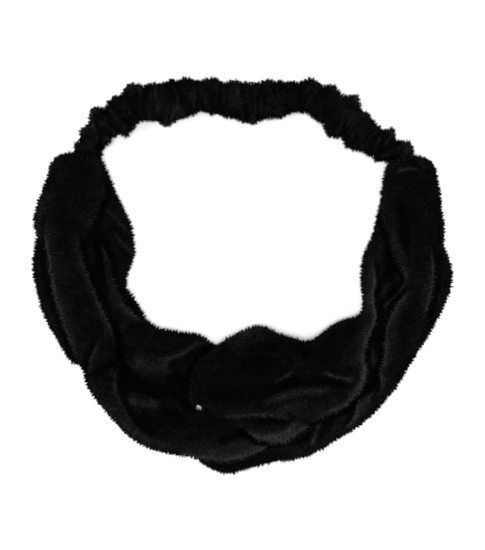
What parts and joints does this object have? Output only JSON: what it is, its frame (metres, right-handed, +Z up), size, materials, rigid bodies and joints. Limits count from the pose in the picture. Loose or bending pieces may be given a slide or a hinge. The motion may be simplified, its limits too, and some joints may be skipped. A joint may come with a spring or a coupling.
{
  "type": "headband",
  "caption": "Twisted velvet headband: two padded strips hooked round each other at the front, joined at the back by a gathered sleeve over a flat elastic.",
  "frame": {"origin": "on the table, under the middle of the headband's outline as it lies flat", "axes": "+X across the head towards the right strip, +Y from the knot at the front to the elastic at the back, +Z up from the table"},
  "size_m": [0.211, 0.2003, 0.025],
  "materials": {
    "velvet": "matte",
    "elastic": "matte",
    "thread": "satin"
  },
  "bodies": {
    "left_half": {"left_strip": "velvet", "elastic_sleeve": "velvet", "elastic_band": "elastic", "left_strip_seam": "thread", "sleeve_seam": "thread", "left_join_seam": "thread", "left_elastic_tack": "thread"},
    "right_half": {"right_strip": "velvet", "right_strip_seam": "thread", "right_join_seam": "thread", "right_elastic_tack": "thread"}
  },
  "joints": [
    {"name": "stretch", "type": "hinge", "parent": "left_half", "child": "right_half", "pos_m": [0.002, -0.068, 0.0125], "axis": [0, 0, -1], "range_deg": [0, 20], "stiffness_Nm_per_rad": 1.2, "deforming": ["elastic_sleeve", "elastic_band", "sleeve_seam"]}
  ]
}
